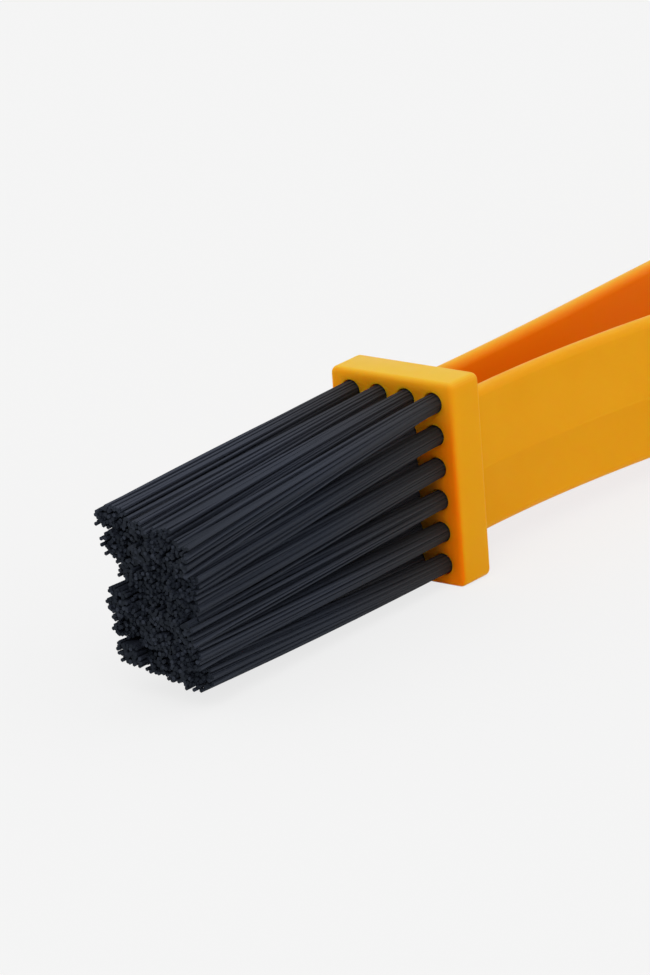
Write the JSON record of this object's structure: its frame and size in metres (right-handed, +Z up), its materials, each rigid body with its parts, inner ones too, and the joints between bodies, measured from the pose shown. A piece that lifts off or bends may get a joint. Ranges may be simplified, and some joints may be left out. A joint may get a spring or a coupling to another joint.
{
  "type": "chain cleaning brush",
  "caption": "Squeeze brush for drive chains: a block of long stiff bristles, two springy strap arms that close like tongs, and a three-sided head of short bristles.",
  "frame": {"origin": "middle of the brush block's lower end, the face that the tool stands on", "axes": "+Y along the tool from the long bristles to the three-sided head, +Z up along the brush block, +X across the arms, towards the one that carries the cross wall"},
  "size_m": [0.055, 0.2652, 0.0304],
  "materials": {
    "orange_plastic": "satin moulded plastic, warm yellow-orange",
    "black_nylon": "stiff nylon filament, blue-black, slightly glossy",
    "steel_wire": "plain flat wire"
  },
  "bodies": {
    "brush_end": {"brush_block": "orange_plastic", "long_tuft_r1c1": "black_nylon", "long_tuft_r1c2": "black_nylon", "long_tuft_r1c3": "black_nylon", "long_tuft_r1c4": "black_nylon", "long_tuft_r2c1": "black_nylon", "long_tuft_r2c2": "black_nylon", "long_tuft_r2c3": "black_nylon", "long_tuft_r2c4": "black_nylon", "long_tuft_r3c1": "black_nylon", "long_tuft_r3c2": "black_nylon", "long_tuft_r3c3": "black_nylon", "long_tuft_r3c4": "black_nylon", "long_tuft_r4c1": "black_nylon", "long_tuft_r4c2": "black_nylon", "long_tuft_r4c3": "black_nylon", "long_tuft_r4c4": "black_nylon", "long_tuft_r5c1": "black_nylon", "long_tuft_r5c2": "black_nylon", "long_tuft_r5c3": "black_nylon", "long_tuft_r5c4": "black_nylon", "long_tuft_r6c1": "black_nylon", "long_tuft_r6c2": "black_nylon", "long_tuft_r6c3": "black_nylon", "long_tuft_r6c4": "black_nylon", "tuft_anchor_r1c1": "steel_wire", "tuft_anchor_r1c2": "steel_wire", "tuft_anchor_r1c3": "steel_wire", "tuft_anchor_r1c4": "steel_wire", "tuft_anchor_r2c1": "steel_wire", "tuft_anchor_r2c2": "steel_wire", "tuft_anchor_r2c3": "steel_wire", "tuft_anchor_r2c4": "steel_wire", "tuft_anchor_r3c1": "steel_wire", "tuft_anchor_r3c2": "steel_wire", "tuft_anchor_r3c3": "steel_wire", "tuft_anchor_r3c4": "steel_wire", "tuft_anchor_r4c1": "steel_wire", "tuft_anchor_r4c2": "steel_wire", "tuft_anchor_r4c3": "steel_wire", "tuft_anchor_r4c4": "steel_wire", "tuft_anchor_r5c1": "steel_wire", "tuft_anchor_r5c2": "steel_wire", "tuft_anchor_r5c3": "steel_wire", "tuft_anchor_r5c4": "steel_wire", "tuft_anchor_r6c1": "steel_wire", "tuft_anchor_r6c2": "steel_wire", "tuft_anchor_r6c3": "steel_wire", "tuft_anchor_r6c4": "steel_wire"},
    "left_side": {"left_arm": "orange_plastic", "left_jaw_bristles": "black_nylon"},
    "right_side": {"right_arm": "orange_plastic", "right_jaw_bristles": "black_nylon", "cross_wall_bristles": "black_nylon"}
  },
  "joints": [
    {"name": "left_arm_squeeze", "type": "hinge", "parent": "brush_end", "child": "left_side", "pos_m": [-0.00515, 0.00485, 0.015], "axis": [0, 0, -1], "range_deg": [0, 2.7], "stiffness_Nm_per_rad": 1.5},
    {"name": "right_arm_squeeze", "type": "hinge", "parent": "brush_end", "child": "right_side", "pos_m": [0.00515, 0.00485, 0.015], "axis": [0, 0, 1], "range_deg": [0, 2.7], "stiffness_Nm_per_rad": 1.5}
  ]
}
